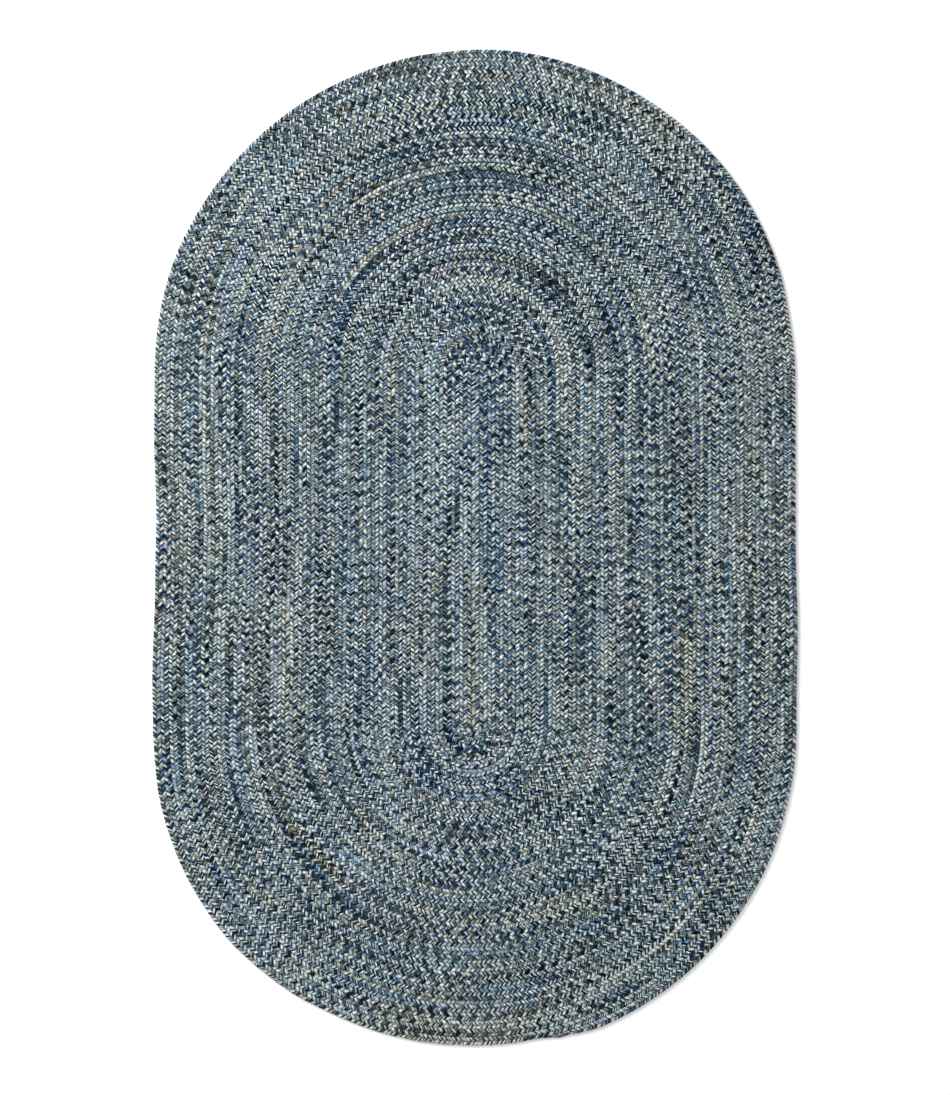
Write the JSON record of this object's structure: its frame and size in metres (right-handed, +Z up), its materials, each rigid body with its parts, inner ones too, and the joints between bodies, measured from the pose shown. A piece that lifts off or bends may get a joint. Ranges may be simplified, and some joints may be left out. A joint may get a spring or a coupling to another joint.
{
  "type": "braided rug",
  "caption": "Flat oval floor rug made of one three-strand braid wound in a spiral and laced row to row.",
  "frame": {"origin": "on the underside, under the middle of the rug's length and width", "axes": "+Y along the rug's length, away from the end where the braid's outer end is tucked in; +X across the rug; +Z up, out of the face that is walked on"},
  "size_m": [1.527, 2.3554, 0.01],
  "materials": {
    "braided_yarn": "matte braided wool-blend yarn in mixed navy, denim, teal, charcoal, grey, ice blue, ivory and tan"
  },
  "bodies": {
    "root": {"braided_rug": "braided_yarn"}
  },
  "joints": []
}
